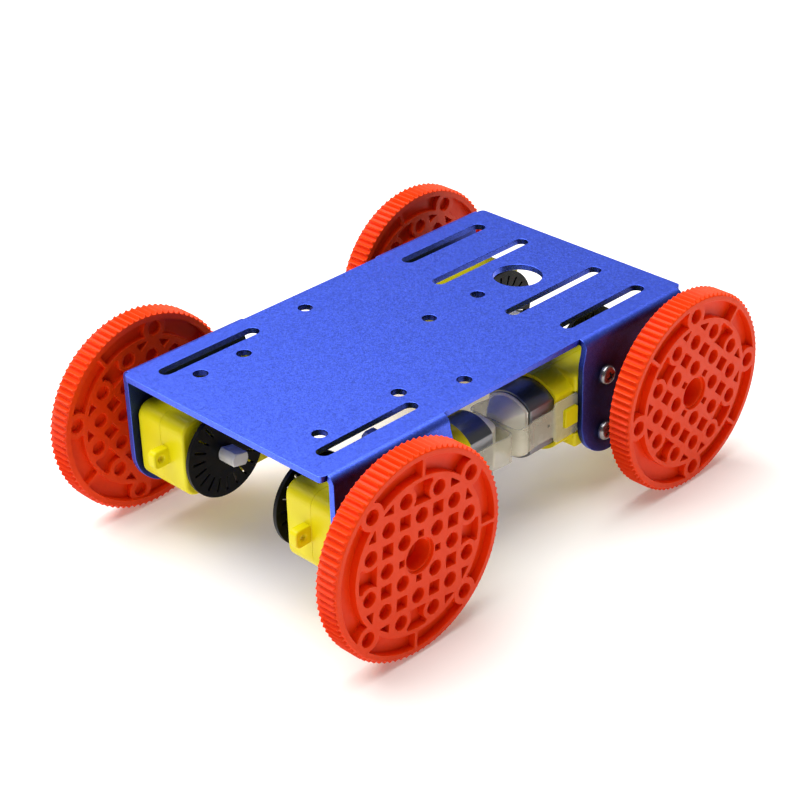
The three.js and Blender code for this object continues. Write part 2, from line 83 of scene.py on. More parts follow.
# ---------------------------------------------------------------- outlines
def arc(cx, cy, r, start, end, steps):
    """Points on an arc, angles in degrees."""
    points = []
    for i in range(steps + 1):
        angle = math.radians(start + (end - start) * i / steps)
        points.append((cx + r * math.cos(angle), cy + r * math.sin(angle)))
    return points


def ring(r, steps, cx=0.0, cy=0.0):
    return arc(cx, cy, r, 0, 360, steps)[:-1]


def turned(points, degrees):
    c, s = math.cos(math.radians(degrees)), math.sin(math.radians(degrees))
    return [(x * c - y * s, x * s + y * c) for x, y in points]


def soft_corners(points, radius, steps=4):
    """The closed outline with each sharp corner rounded to about the radius."""
    made = []
    count = len(points)
    for i, point in enumerate(points):
        here = Vector(point)
        before, after = Vector(points[i - 1]) - here, Vector(points[(i + 1) % count]) - here
        room = 0.45 * min(before.length, after.length)
        if before.length < 1e-6 or after.length < 1e-6:
            continue
        corner = before.angle(after)
        if corner > math.radians(158):
            made.append(tuple(here))
            continue
        cut = min(radius / math.tan(corner / 2), room)
        a, b = here + before.normalized() * cut, here + after.normalized() * cut
        for k in range(steps + 1):
            f = k / steps
            p = a * (1 - f) ** 2 + here * 2 * f * (1 - f) + b * f**2
            made.append((p.x, p.y))
    return made


def box_outline(x0, y0, x1, y1):
    return [(x0, y0), (x1, y0), (x1, y1), (x0, y1)]


def double_flat(r, flat, turn, steps):
    """A round bar cut by two flats. Their normals point along the turn, in degrees."""
    half = math.degrees(math.acos(flat / r))
    one = arc(0, 0, r, half, 180 - half, steps)
    other = arc(0, 0, r, 180 + half, 360 - half, steps)
    return turned(one + other, turn)


# ---------------------------------------------------------------- meshes
def shaded(mesh, angle):
    """The mesh, smooth but for the edges sharper than the angle."""
    mesh.polygons.foreach_set("use_smooth", [True] * len(mesh.polygons))
    mesh.set_sharp_from_angle(angle=math.radians(angle))
    return mesh


def mesh_of(bm, name, angle):
    """Turns the bmesh into a mesh with its faces outwards."""
    bmesh.ops.recalc_face_normals(bm, faces=bm.faces)
    mesh = bpy.data.meshes.new(name)
    bm.to_mesh(mesh)
    bm.free()
    return shaded(mesh, angle)


def finish_mesh(bm, name, angle=SOFT_ANGLE):
    """As mesh_of, with points that fall together merged."""
    bmesh.ops.remove_doubles(bm, verts=bm.verts, dist=1e-4)
    return mesh_of(bm, name, angle)


def plate(bm, loops, t0, t1, bevel=0.15, resolution=2):
    """Adds a flat solid between heights t0 and t1 with rounded edges. The first outline is its outside."""
    curve = bpy.data.curves.new("plate", "CURVE")
    curve.dimensions = "2D"
    curve.fill_mode = "BOTH"
    for points in loops:
        spline = curve.splines.new("POLY")
        spline.points.add(len(points) - 1)
        for place, (x, y) in zip(spline.points, points):
            place.co = (x, y, 0, 1)
        spline.use_cyclic_u = True
    curve.extrude = (t1 - t0) / 2 - bevel
    curve.bevel_depth = bevel
    curve.bevel_resolution = resolution
    curve.offset = -bevel
    obj = bpy.data.objects.new("plate", curve)
    bpy.context.collection.objects.link(obj)
    bpy.context.view_layer.update()
    shape = bpy.data.meshes.new_from_object(obj.evaluated_get(bpy.context.evaluated_depsgraph_get()))
    shape.transform(Matrix.Translation((0, 0, (t0 + t1) / 2)))
    bm.from_mesh(shape)
    bpy.data.objects.remove(obj)
    bpy.data.curves.remove(curve)
    bpy.data.meshes.remove(shape)


def add_rows(bm, rows):
    return [[bm.verts.new(point) for point in row] for row in rows]


def band(bm, low, high):
    """A closed band of faces between two rows with as many points."""
    count = len(low)
    for i in range(count):
        j = (i + 1) % count
        bm.faces.new((low[i], low[j], high[j], high[i]))


def skin(bm, rows):
    """Joins rows of points into a surface, round each row, and closes both ends."""
    made = add_rows(bm, rows)
    for low, high in zip(made, made[1:]):
        band(bm, low, high)
    bm.faces.new(list(reversed(made[0])))
    bm.faces.new(made[-1])


def tube(bm, rows):
    """Joins rows of points into a surface, round each row, and the last row to the first."""
    made = add_rows(bm, rows)
    for low, high in zip(made, made[1:] + made[:1]):
        band(bm, low, high)


def spin(bm, profile, steps):
    """Adds a solid of revolution about t. The profile is (r, t), closed; points with r 0 lie on the axis."""
    rings = []
    for r, t in profile:
        if r < 1e-6:
            rings.append([bm.verts.new((0, 0, t))])
        else:
            rings.append([bm.verts.new((x, y, t)) for x, y in ring(r, steps)])
    for low, high in zip(rings, rings[1:] + rings[:1]):
        if len(low) == 1 and len(high) == 1:
            continue
        if len(low) > 1 and len(high) > 1:
            band(bm, low, high)
            continue
        for i in range(steps):
            j = (i + 1) % steps
            if len(low) == 1:
                bm.faces.new((low[0], high[j], high[i]))
            else:
                bm.faces.new((low[i], low[j], high[0]))


def subtract(mesh, tools):
    """The mesh with the tool meshes cut out of it."""
    obj = bpy.data.objects.new("cut", mesh)
    bpy.context.collection.objects.link(obj)
    helpers = []
    for tool in tools:
        helper = bpy.data.objects.new("tool", tool)
        bpy.context.collection.objects.link(helper)
        helpers.append(helper)
        modifier = obj.modifiers.new("cut", "BOOLEAN")
        modifier.operation = "DIFFERENCE"
        modifier.solver = "EXACT"
        modifier.object = helper
    bpy.context.view_layer.update()
    made = bpy.data.meshes.new_from_object(obj.evaluated_get(bpy.context.evaluated_depsgraph_get()))
    for extra in [obj] + helpers:
        bpy.data.objects.remove(extra)
    return shaded(made, SOFT_ANGLE)


def unit_matrix(corner):
    """From the drive unit's frame in millimetres to the model's frame in metres."""
    front = corner.startswith("front")
    left = corner.endswith("left")
    a = Vector((-1 if front else 1, 0, 0))
    t = Vector((0, 1 if left else -1, 0))
    b = t.cross(a)
    turn = Matrix((a, b, t)).transposed().to_4x4()
    origin = Vector(((AXLE_X if front else -AXLE_X), (DRIVE_Y if left else -DRIVE_Y), AXLE_Z))
    return Matrix.Translation(origin * MM) @ Matrix.Scale(MM, 4) @ turn


LATTICE_TURN = {"rear_right": 40, "rear_left": 78, "front_right": 92, "front_left": 64}


def wheel_turn(corner):
    """Angle of the wheel's lattice in its drive unit's frame, in degrees."""
    front = corner.startswith("front")
    left = corner.endswith("left")
    return (-1 if left else 1) * LATTICE_TURN[corner] + (180 if front else 0)


def upward(corner):
    """1 where the unit's b axis points up, -1 where it points down."""
    return 1 if corner.startswith("front") == corner.endswith("left") else -1


def add(name, mesh, body, material, replaces, matrix):
    """Places a finished mesh as a piece that rides on a body."""
    own = mesh.copy()
    own.name = name
    own.transform(matrix)
    own.materials.clear()
    own.materials.append(material)
    obj = bpy.data.objects.new(name, own)
    bpy.context.collection.objects.link(obj)
    modifier = obj.modifiers.new("normals", "WEIGHTED_NORMAL")
    modifier.keep_sharp = True
    modifier.weight = 60
    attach(obj, body)
    if replaces:
        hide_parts(*replaces)


# ---------------------------------------------------------------- materials
def colour(red, green, blue):
    """A display colour of 0 to 255 as linear light."""
    made = []
    for value in (red, green, blue):
        v = value / 255
        made.append(v / 12.92 if v <= 0.04045 else ((v + 0.055) / 1.055) ** 2.4)
    return (*made, 1.0)


class Surface:
    """A principled material with noise driven colour, roughness and bump."""

    def __init__(self, name, base, metallic=0.0):
        self.material = bpy.data.materials.new(name)
        self.material.use_nodes = True
        self.nodes = self.material.node_tree.nodes
        self.links = self.material.node_tree.links
        self.shader = self.nodes["Principled BSDF"]
        self.shader.inputs["Metallic"].default_value = metallic
        self.base = base
        self.height = None
        self.colour_out = None
        self.coords = self.nodes.new("ShaderNodeTexCoord").outputs["Object"]

    def noise(self, scale, detail, rough=0.55, stretch=None):
        """Noise from 0 to 1, fixed to the piece."""
        node = self.nodes.new("ShaderNodeTexNoise")
        node.inputs["Scale"].default_value = scale
        node.inputs["Detail"].default_value = detail
        node.inputs["Roughness"].default_value = rough
        source = self.coords
        if stretch:
            mapping = self.nodes.new("ShaderNodeMapping")
            mapping.inputs["Scale"].default_value = stretch
            self.links.new(self.coords, mapping.inputs["Vector"])
            source = mapping.outputs["Vector"]
        self.links.new(source, node.inputs["Vector"])
        return node.outputs["Fac"]

    def edge_highlight(self, radius):
        """1 on sharp outer edges, 0 on flat faces. It masks a painted highlight along the edges."""
        node = self.nodes.new("ShaderNodeBevel")
        node.samples = 4
        node.inputs["Radius"].default_value = radius
        geometry = self.nodes.new("ShaderNodeNewGeometry")
        dot = self.nodes.new("ShaderNodeVectorMath")
        dot.operation = "DOT_PRODUCT"
        self.links.new(node.outputs["Normal"], dot.inputs[0])
        self.links.new(geometry.outputs["Normal"], dot.inputs[1])
        return self.ramp(dot.outputs["Value"], ((0.72, 1.0), (0.97, 0.0)))

    def openness(self, distance):
        """1 on open faces, towards 0 in slots and next to other pieces, where shade falls. It masks painted
        shade.
        """
        node = self.nodes.new("ShaderNodeAmbientOcclusion")
        node.samples = 8
        node.inputs["Distance"].default_value = distance
        return node.outputs["AO"]

    def ramp(self, source, stops):
        """The source, mapped so that each stop's first value becomes its second."""
        node = self.nodes.new("ShaderNodeMapRange")
        (low, at_low), (high, at_high) = stops
        node.inputs["From Min"].default_value = low
        node.inputs["From Max"].default_value = high
        node.inputs["To Min"].default_value = at_low
        node.inputs["To Max"].default_value = at_high
        self.links.new(source, node.inputs["Value"])
        return node.outputs["Result"]

    def tint(self, source, other, low, high, most):
        """Mixes another colour in: nothing where the source is low, and the most where it is high."""
        factor = self.ramp(source, ((low, 0.0), (high, most)))
        mix = self.nodes.new("ShaderNodeMix")
        mix.data_type = "RGBA"
        self.links.new(factor, mix.inputs["Factor"])
        if self.colour_out is None:
            mix.inputs["A"].default_value = self.base
        else:
            self.links.new(self.colour_out, mix.inputs["A"])
        mix.inputs["B"].default_value = other
        self.colour_out = mix.outputs["Result"]

    def roughness(self, source, low, high):
        """Lets the roughness follow the source from low to high."""
        self.links.new(self.ramp(source, ((0.3, low), (0.7, high))), self.shader.inputs["Roughness"])

    def bump(self, source, strength, distance):
        """Adds bumps to those that the surface already has. The distance is in metres."""
        node = self.nodes.new("ShaderNodeBump")
        node.inputs["Strength"].default_value = strength
        node.inputs["Distance"].default_value = distance
        self.links.new(source, node.inputs["Height"])
        if self.height is not None:
            self.links.new(self.height, node.inputs["Normal"])
        self.height = node.outputs["Normal"]

    def set(self, **values):
        """Sets uniform values on the shader's own sockets."""
        for key, value in values.items():
            self.shader.inputs[key.replace("_", " ")].default_value = value

    def done(self):
        """Connects the colour and the bumps, and gives the material."""
        self.links.new(self.colour_out, self.shader.inputs["Base Color"])
        self.links.new(self.height, self.shader.inputs["Normal"])
        return self.material


def anodised():
    s = Surface("blue_anodised", colour(76, 104, 238), 0.95)
    grain = s.noise(2800, 2)
    s.tint(grain, colour(108, 138, 255), 0.42, 0.72, 0.6)
    s.tint(s.noise(900, 2), colour(60, 84, 220), 0.5, 0.75, 0.4)
    # Painted shade: dark navy in the slots and holes and where other pieces are near.
    s.tint(s.openness(0.012), colour(14, 20, 74), 0.93, 0.68, 0.92)
    s.roughness(s.noise(1800, 2), 0.36, 0.5)
    s.bump(grain, 0.5, 0.00005)
    return s.done()


def wheel_plastic():
    s = Surface("orange_red_plastic", colour(241, 61, 5))
    s.tint(s.noise(45, 3), colour(246, 68, 10), 0.4, 0.7, 0.6)
    s.tint(s.noise(700, 2), colour(230, 48, 5), 0.5, 0.8, 0.35)
    # Painted highlight: lighter orange along the sharp edges.
    s.tint(s.edge_highlight(0.00022), colour(255, 104, 34), 0.1, 1.0, 0.45)
    s.roughness(s.noise(260, 3), 0.32, 0.48)
    s.bump(s.noise(1500, 2), 0.12, 0.00003)
    s.set(Subsurface_Weight=0.03, Subsurface_Radius=(0.001, 0.0003, 0.0001), Specular_IOR_Level=0.16)
    return s.done()


def gearbox_plastic():
    s = Surface("yellow_plastic", colour(234, 222, 6))
    s.tint(s.noise(60, 3), colour(226, 212, 4), 0.4, 0.7, 0.6)
    # Painted highlight: lighter yellow along the sharp edges.
    s.tint(s.edge_highlight(0.0003), colour(240, 232, 60), 0.1, 1.0, 0.4)
    s.roughness(s.noise(300, 3), 0.3, 0.46)
    s.bump(s.noise(1400, 2), 0.12, 0.00003)
    s.set(Subsurface_Weight=0.06, Subsurface_Radius=(0.002, 0.0015, 0.0003), Specular_IOR_Level=0.28)
    return s.done()


def disc_plastic():
    s = Surface("black_plastic", colour(7, 8, 10))
    s.tint(s.noise(300, 3), colour(13, 14, 16), 0.45, 0.75, 0.7)
    # Painted highlight: grey along the sharp edges.
    s.tint(s.edge_highlight(0.00025), colour(36, 38, 42), 0.1, 1.0, 0.4)
    s.roughness(s.noise(400, 3), 0.3, 0.45)
    s.bump(s.noise(1500, 2), 0.15, 0.00003)
    s.set(Specular_IOR_Level=0.14)
    return s.done()


def white_plastic(name, base, dark, rough=0.42):
    s = Surface(name, base)
    s.tint(s.noise(120, 3), dark, 0.4, 0.75, 0.5)
    s.roughness(s.noise(500, 3), rough - 0.06, rough + 0.1)
    s.bump(s.noise(1600, 2), 0.12, 0.00003)
    s.set(Subsurface_Weight=0.15, Subsurface_Radius=(0.0015, 0.0014, 0.0012))
    return s.done()


def steel(name, base, dark, low, high, stretch=None):
    """Steel with a roughness from low to high, in streaks if the noise is stretched."""
    s = Surface(name, base, 0.95)
    streaks = s.noise(260, 3, 0.5, stretch)
    s.tint(streaks, dark, 0.35, 0.75, 0.35)
    # Painted highlight: brighter steel along the sharp edges.
    s.tint(s.edge_highlight(0.0002), colour(214, 215, 217), 0.1, 1.0, 0.35)
    s.roughness(streaks, low, high)
    s.bump(s.noise(1500, 2), 0.04, 0.00001)
    return s.done()


def brass():
    s = Surface("brass", colour(204, 160, 88), 0.9)
    s.tint(s.noise(500, 3), colour(160, 118, 56), 0.4, 0.75, 0.6)
    s.roughness(s.noise(600, 3), 0.24, 0.45)
    s.bump(s.noise(1200, 2), 0.1, 0.00002)
    return s.done()


def clear_plastic():
    s = Surface("clear_plastic", colour(222, 220, 196))
    s.tint(s.noise(90, 3), colour(206, 204, 176), 0.4, 0.7, 0.6)
    s.roughness(s.noise(350, 3), 0.16, 0.32)
    s.bump(s.noise(220, 1), 0.05, 0.00002)
    s.set(IOR=1.4, Alpha=0.37)
    return s.done()


MATERIALS = {
    "deck": anodised(),
    "wheel": wheel_plastic(),
    "gearbox": gearbox_plastic(),
    "disc": disc_plastic(),
    "shaft": white_plastic("shaft_plastic", colour(228, 227, 222), colour(200, 198, 192)),
    "gear": white_plastic("gear_plastic", colour(232, 230, 222), colour(210, 206, 194)),
    "screw": steel("nickel_steel", colour(156, 154, 154), colour(126, 124, 124), 0.2, 0.3),
    "can": steel("can_steel", colour(132, 134, 138), colour(112, 114, 118), 0.28, 0.36, (1, 4, 4)),
    "rotor": brass(),
    "cap": white_plastic("cap_plastic", colour(246, 244, 228), colour(232, 230, 210), 0.4),
    "strap": clear_plastic(),
}


# ---------------------------------------------------------------- deck
HOLE_R = 2.05  # the small holes, and half the width of the slots
HOLES = (
    (-40.2, 22.9), (-55.2, 23), (-55.2, -22.4), (-27.4, -22.4),
    (-11.2, 30.2), (-11.2, -30.2), (7.3, 0.4), (26.6, 0.3),
)
SLOTS = (  # from x, to x, y
    (-60.3, -30.4, 30.7), (-60.3, -30.4, -29.5), (29.6, 58.9, 30.1), (29.6, 58.9, -30.1),
    (25.5, 59.8, 13.9), (25.5, 59.8, -13.9),
)
LARGE_HOLE_X, LARGE_HOLE_R = 42.86, 7.05
SHAFT_HOLE_R, NUB_HOLE_R, SCREW_HOLE_R = 4.0, 2.4, 1.75
NUB_A = 11.0
PLATE_CORNER_R, LEG_CORNER_R = 1.4, 12.0
BEND_STEPS = 12


def slot_outline(x0, x1, y):
    return arc(x1, y, HOLE_R, -90, 90, 14) + arc(x0, y, HOLE_R, 90, 270, 14)


FLAT_BEND = math.pi / 2 * (BEND_R - SHEET / 2)
BEND_Y = DECK_SIDE - BEND_R


def flat_of_height(z):
    """Distance from the middle along the flat sheet of a point on a leg at height z."""
    return BEND_Y + FLAT_BEND + (DECK_TOP - BEND_R - z)


def leg_side(start, end, neck_at_start):
    """One leg of the flat sheet on the left side, from one end of its root to the other.

    The side that faces the vehicle's middle is narrower next to the bend.
    """
    tip = flat_of_height(LEG_BOTTOM)
    corner = LEG_CORNER_R
    root = PLATE_SIDE + 0.1
    neck = [(1.1, root), (1.1, 40.4), (0.95, 41.6), (0.5, 43.4), (0.1, 45.0), (0, 46.2)]
    plain = [(0.25, root), (0, root + 0.25)]
    at_start, at_end = (neck, plain) if neck_at_start else (plain, neck)
    points = [(start + inset, y) for inset, y in at_start]
    points += arc(start + corner, tip - corner, corner, 180, 90, 16)
    points += arc(end - corner, tip - corner, corner, 90, 0, 16)
    points += [(end - inset, y) for inset, y in reversed(at_end)]
    return points


def deck_outline():
    """The flat sheet before bending: plate and four legs."""
    corner = PLATE_CORNER_R
    side = PLATE_SIDE
    left = arc(DECK_REAR + corner, side - corner, corner, 180, 90, 6)
    for start, end in LEGS:
        left += leg_side(start, end, start > 0)
    left += arc(DECK_FRONT - corner, side - corner, corner, 90, 0, 6)
    return left + [(x, -y) for x, y in reversed(left)]


def bent(co):
    """Folds a point of the flat sheet, z 0 at its top face, into the channel."""
    side = 1 if co.y >= 0 else -1
    s = abs(co.y) - BEND_Y
    if s <= 0:
        return Vector((co.x, co.y, DECK_TOP + co.z))
    neutral = BEND_R - SHEET / 2
    if s <= FLAT_BEND:
        angle = s / neutral
        r = BEND_R + co.z
        return Vector((co.x, side * (BEND_Y + r * math.sin(angle)), DECK_TOP - BEND_R + r * math.cos(angle)))
    return Vector((co.x, side * (BEND_Y + BEND_R + co.z), DECK_TOP - BEND_R - (s - FLAT_BEND)))


def leg_holes(side, end):
    """The holes of one leg in the flat sheet: shaft, locating nub and two screws."""
    axle = end * AXLE_X
    loops = [
        ring(SHAFT_HOLE_R, 32, axle, side * flat_of_height(AXLE_Z)),
        ring(NUB_HOLE_R, 24, axle - end * NUB_A, side * flat_of_height(AXLE_Z)),
    ]
    for up in (-SCREW_B, SCREW_B):
        loops.append(ring(SCREW_HOLE_R, 24, axle - end * SCREW_A, side * flat_of_height(AXLE_Z + up)))
    return loops


def deck_mesh():
    """The deck: the flat sheet with its holes and slots, then cut along the bends and folded."""
    loops = [deck_outline(), ring(LARGE_HOLE_R, 64, LARGE_HOLE_X, 0)]
    loops += [ring(HOLE_R, 32, x, y) for x, y in HOLES]
    loops += [slot_outline(*slot) for slot in SLOTS]
    for side in (-1, 1):
        for end in (-1, 1):
            loops += leg_holes(side, end)
    bm = bmesh.new()
    plate(bm, loops, -SHEET, 0, bevel=0.14)
    bmesh.ops.remove_doubles(bm, verts=bm.verts, dist=1e-4)
    for side in (-1, 1):
        for i in range(BEND_STEPS + 1):
            s = side * (BEND_Y + FLAT_BEND * i / BEND_STEPS)
            geometry = bm.verts[:] + bm.edges[:] + bm.faces[:]
            bmesh.ops.bisect_plane(bm, geom=geometry, plane_co=(0, s, 0), plane_no=(0, 1, 0), dist=1e-5)

    for vert in bm.verts:
        vert.co = bent(vert.co)
    return finish_mesh(bm, "deck", 30)


# ---------------------------------------------------------------- wheel
PITCH = 8.0
PEG_HOLE_R = 2.1
SMALL_SQUARE, LARGE_SQUARE = 0.95, 1.8  # half the side
RIM_R = 26.6  # inner side of the rim
RING_R = 21.9  # outer side of the ring round the lattice
LUG_R = 3.75  # round each of the four outermost peg holes
RIB_HALF = 0.5
TREAD_TEETH = 90
TREAD_PHASE = 2.0  # degrees
TIP_R, ROOT_R = 29.0, 28.02
BED_R = 28.0  # under the teeth
LINING_R = 27.2  # the tread's inner side, within the rim
WHEEL_OUT = 26.3
LATTICE_IN = 20.3
WEB_T = (22.0, 24.0)
BOSS_R, BOSS_T = 4.9, (13.4, 19.4)


def square_outline(half):
    return turned(box_outline(-half, -half, half, half), 45)


def lattice_loops():
    """Openings of the wheel's lattice."""
    loops = []
    for i in range(-2, 3):
        for j in range(-2, 3):
            if (i, j) != (0, 0) and (abs(i), abs(j)) != (2, 2):
                loops.append(ring(PEG_HOLE_R, 28, i * PITCH, j * PITCH))
    small = soft_corners(square_outline(SMALL_SQUARE), 0.2)
    large = soft_corners(square_outline(LARGE_SQUARE), 0.3)
    waist = [(14.75, -2.9), *arc(16.97, -5.657, 3.45, 125, 40, 6), (20.55, -3.2), (20.75, 0), (20.55, 3.2)]
    waist += [*arc(16.97, 5.657, 3.45, -40, -125, 6), (14.75, 2.9)]
    waist = soft_corners(waist, 0.3)
    spike = soft_corners([(17.8, 4.0), (20.55, 1.7), (19.75, 5.75)], 0.25)
    for quarter in range(4):
        turn = 90 * quarter

        def put(points, x=0.0, y=0.0, first=0.0):
            loops.append(turned([(px + x, py + y) for px, py in turned(points, first)], turn))

        put(small, 4.4, 4.4)
        put(large, 1.5 * PITCH, 0.5 * PITCH)
        put(large, 1.5 * PITCH, -0.5 * PITCH)
        put(ring(PEG_HOLE_R, 28, 3 * PITCH, 0))
        put(waist, first=45)
        put(spike)
        put([(x, -y) for x, y in reversed(spike)])
    return loops


def lug_cut(r):
    """Angle from a lug's middle to where its edge meets a circle about the wheel's axis, in degrees."""
    middle = 3 * PITCH
    return math.degrees(math.acos((r**2 + middle**2 - LUG_R**2) / (2 * r * middle)))


def lug_side(turn, sign):
    """Along a lug's edge from the rim in to the lattice's ring, on one side of it."""
    middle = 3 * PITCH
    ends = []
    for r in (RIM_R, RING_R):
        cut = math.radians(lug_cut(r))
        ends.append(math.degrees(math.atan2(r * math.sin(cut), r * math.cos(cut) - middle)))
    return turned([(x, sign * y) for x, y in arc(middle, 0, LUG_R, *ends, 8)], turn)


def pocket_loops():
    """The shallow pockets between the lattice and the rim. Three of the four sectors are split by a rib."""
    outer_cut, inner_cut = lug_cut(RIM_R), lug_cut(RING_R)
    rib_out, rib_in = math.degrees(RIB_HALF / RIM_R), math.degrees(RIB_HALF / RING_R)

    loops = []
    for sector in range(4):
        start, end = 90 * sector, 90 * sector + 90
        cuts = [(start, start + 45), (start + 45, end)]
        if sector == 1:
            cuts = [(start, end)]
        for first, last in cuts:
            from_lug, to_lug = first == start, last == end
            low_out = first + (outer_cut if from_lug else rib_out)
            high_out = last - (outer_cut if to_lug else rib_out)
            low_in = first + (inner_cut if from_lug else rib_in)
            high_in = last - (inner_cut if to_lug else rib_in)
            points = arc(0, 0, RIM_R, low_out, high_out, 18)
            if to_lug:
                points += lug_side(last, -1)[1:-1]
            points += arc(0, 0, RING_R, high_in, low_in, 16)
            if from_lug:
                points += list(reversed(lug_side(first, 1)))[1:-1]
            loops.append(soft_corners(points, 0.45, 3))
    return loops


def tread(bm):
    """The toothed ring: ridges across the tread, chamfered inwards, with a plain lip on the outer side."""
    ridge = ((0.0, 0.0), (0.17, 0.06), (0.4, 0.86), (0.5, 1.0), (0.6, 0.86), (0.83, 0.06))
    pitch = TAU / TREAD_TEETH
    phase = math.radians(TREAD_PHASE)
    angles = [phase + pitch * (tooth + share) for tooth in range(TREAD_TEETH) for share, _ in ridge]
    shape = [height for _ in range(TREAD_TEETH) for _, height in ridge]

    def circle(r, t):
        return [(r * math.cos(angle), r * math.sin(angle), t) for angle in angles]

    # Place across the tread, radius in the valleys and share of the full tooth.
    levels = ((19.5, BED_R, 0), (19.56, 28.18, 0.06), (19.68, 28.2, 0.4), (19.84, 28.12, 0.85))
    levels += ((20.0, ROOT_R, 1), (25.6, ROOT_R, 1), (25.8, 28.08, 0.8))
    levels += ((25.97, 28.13, 0.35), (26.12, 28.13, 0.04), (26.24, 28.02, 0), (26.29, 27.8, 0))
    rows = [circle(LINING_R, 26.29), circle(LINING_R, 20.9), circle(26.62, 20.8), circle(26.62, 19.52)]
    for t, base, share in levels:
        row = []
        for angle, height in zip(angles, shape):
            r = base + share * (TIP_R - base) * height
            row.append((r * math.cos(angle), r * math.sin(angle), t))
        rows.append(row)
    tube(bm, rows)


def wheel_mesh():
    """One wheel: lattice, web, hub and tread."""
    bm = bmesh.new()
    loops = [ring(BED_R, 180), ring(4.85, 48)] + lattice_loops() + pocket_loops()
    plate(bm, loops, LATTICE_IN, WHEEL_OUT, bevel=0.13)
    # The web: a floor half way down every opening.
    plate(bm, [ring(LINING_R, 120), ring(5.0, 48)], *WEB_T, bevel=0.05, resolution=1)
    # The hub: a cup open outwards, with a boss inwards that takes the shaft.
    bore = [(5.2, WHEEL_OUT - 0.95), (4.2, WHEEL_OUT - 0.8), (4.1, WHEEL_OUT - 0.95)]
    bore += [(4.0, 20.75), (3.85, 20.6)]
    bore += [(1.05, 20.6), (1.0, 20.5), (1.0, 19.1), (2.6, 19.05), (4.7, 19.05), (5.2, 19.2)]
    spin(bm, bore, 48)
    plate(bm, [ring(BOSS_R, 48), double_flat(3.0, 2.15, 0, 14)], *BOSS_T)
    tread(bm)
    return finish_mesh(bm, "wheel", 42)


# ---------------------------------------------------------------- drive unit
BOX_A = (-11.6, 30.5)
BOX_B = 11.25
BOX_EDGE = 0.9
SLEEVE_END, SLEEVE_FLAT, SLEEVE_FILLET = 37.4, 8.35, 1.6
SLEEVE_WALL = 1.2
WALL = 1.5
BORE_R = 3.1
HOOK_A, HOOK_B, HOOK_T = (30.0, 35.0), 2.7, (8.0, 10.0)
TAB_LENGTH, TAB_B, TAB_T, TAB_HOLE_R = 5, 2.6, (0.15, 3.0), 0.9
CAN_A = (28.4, 46.6)
CAN_R, CAN_FLAT, CAN_FILLET, CAN_WALL = 10.05, 7.55, 1.0, 0.8
CAN_BORE_R = 1.4
CAP_REAR = 52.4
STRAP_FRONT, STRAP_REAR = 28.9, 53.4
STRAP_T = (8.65, 9.25)
STRAP_BEND_R = 1.9
STRAP_NARROW, STRAP_WIDE = 4.1, 6.1  # half its width over the motor and over the gearbox
SHAFT_R, SHAFT_FLAT = 2.7, 1.85
SHAFT_IN, SHAFT_OUT = -18.5, 18.7
DISC_R, DISC_T = 13.0, (-12.8, -11.5)
DISC_HUB_R, DISC_HUB_END = 4.6, -10.0
DISC_SLOTS = 20
SCREW_R, SCREW_HEAD_R, SCREW_HEAD = 1.5, 2.85, 2.1
NUT_T, NUT_ACROSS = (-11.9, -9.42), 5.5


def rounded_box(x0, y0, x1, y1, radii):
    """A rectangle with a radius for each corner, anticlockwise from the lowest."""
    a, b, c, d = radii
    points = []
    for cx, cy, start, r in (
        (x0 + a, y0 + a, 180, a),
        (x1 - b, y0 + b, 270, b),
        (x1 - c, y1 - c, 0, c),
        (x0 + d, y1 - d, 90, d),
    ):
        points += arc(cx, cy, r, start, start + 90, 8)
    return points


def prism(points, t0, t1):
    """A plain closed prism along t."""
    bm = bmesh.new()
    skin(bm, [[(x, y, t) for x, y in points] for t in (t0, t1)])
    return finish_mesh(bm, "prism")


def prism_a(points, a0, a1):
    """A plain closed prism along a. Its outline is (b, t)."""
    bm = bmesh.new()
    skin(bm, [[(a, b, t) for b, t in points] for a in (a0, a1)])
    return finish_mesh(bm, "prism")


def can_points(grow):
    """The motor's section (b, t): round, with a flat on both faces."""
    r, flat, fillet = CAN_R + grow, CAN_FLAT + grow, CAN_FILLET
    side = math.sqrt((r - fillet) ** 2 - (flat - fillet) ** 2)
    turn = math.degrees(math.atan2(flat - fillet, side))
    right = arc(side, fillet - flat, fillet, -90, -turn, 5)
    right += arc(0, 0, r, -turn, turn, 14)[1:-1]
    right += arc(side, flat - fillet, fillet, turn, 90, 5)
    return right + [(-b, -t) for b, t in right]


def round_like(points, r):
    """A circle whose points lie in the same directions as the given ones."""
    return [(b * r / math.hypot(b, t), t * r / math.hypot(b, t)) for b, t in points]


def joined(meshes, name, angle=SOFT_ANGLE):
    bm = bmesh.new()
    for mesh in meshes:
        bm.from_mesh(mesh)
    return mesh_of(bm, name, angle)


def plate_mesh(loops, t0, t1, bevel=0.15, resolution=2):
    bm = bmesh.new()
    plate(bm, loops, t0, t1, bevel, resolution)
    return finish_mesh(bm, "plate")


def spin_mesh(profile, steps, a=0.0):
    """A solid of revolution about the line along t at this a."""
    bm = bmesh.new()
    spin(bm, profile, steps)
    bmesh.ops.translate(bm, verts=bm.verts, vec=(a, 0, 0))
    return finish_mesh(bm, "spin")


def sleeve_points(inset):
    """Half of the section (b, t) of the gearbox where it wraps the motor."""
    r, flat, fillet = CAN_R + SLEEVE_WALL - inset, SLEEVE_FLAT - inset, SLEEVE_FILLET
    side = math.sqrt((r - fillet) ** 2 - (flat - fillet) ** 2)
    turn = math.degrees(math.atan2(flat - fillet, side))
    right = arc(0, 0, r, 0.4, turn, 12) + arc(side, flat - fillet, fillet, turn, 90, 6)[1:]
    return right + [(-b, t) for b, t in reversed(right)]


